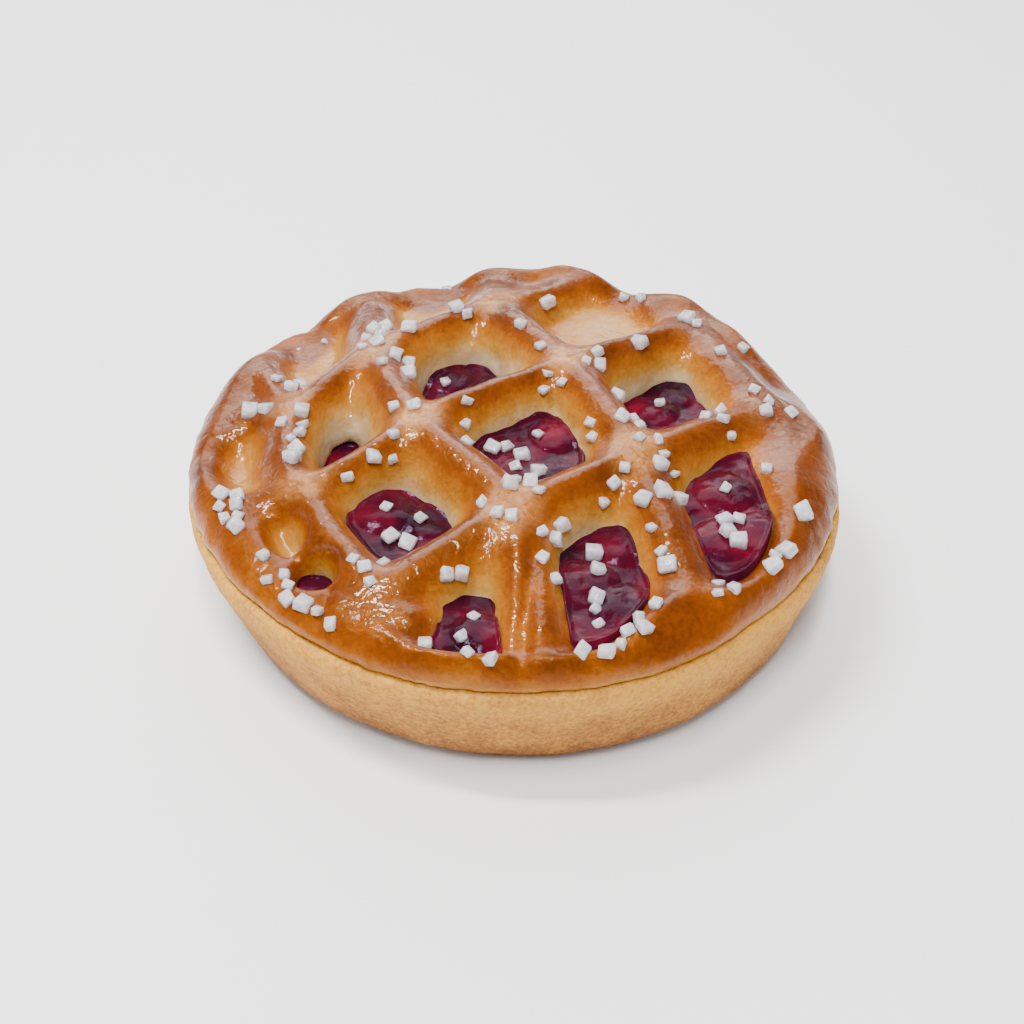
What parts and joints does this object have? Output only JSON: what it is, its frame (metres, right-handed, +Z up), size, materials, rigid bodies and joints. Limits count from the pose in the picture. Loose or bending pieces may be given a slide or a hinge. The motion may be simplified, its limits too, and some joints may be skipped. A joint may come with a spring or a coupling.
{
  "type": "lattice cherry tart",
  "caption": "Round open-lattice fruit tart with a bowl-shaped crust, glazed lattice lid, cherry filling and coarse sugar.",
  "frame": {"origin": "centre of the bounding box's bottom face, on the flat underside of the base crust", "axes": "+Z up through the middle of the tart, -Y towards the front as pictured, +X to the right"},
  "size_m": [0.1099, 0.1099, 0.0355],
  "materials": {
    "base_crust": "dry sandy shortcrust, golden tan, browner at the bottom edge",
    "glazed_crust": "egg-glazed golden brown dough, glossy on top and pale cream low in the openings",
    "cherry_filling": "wet dark crimson cherry jelly with lumps of fruit",
    "sugar": "coarse translucent white sugar crystals"
  },
  "bodies": {
    "root": {"base_crust": "base_crust", "lattice_lid": "glazed_crust", "cherry_filling": "cherry_filling"}
  },
  "joints": []
}
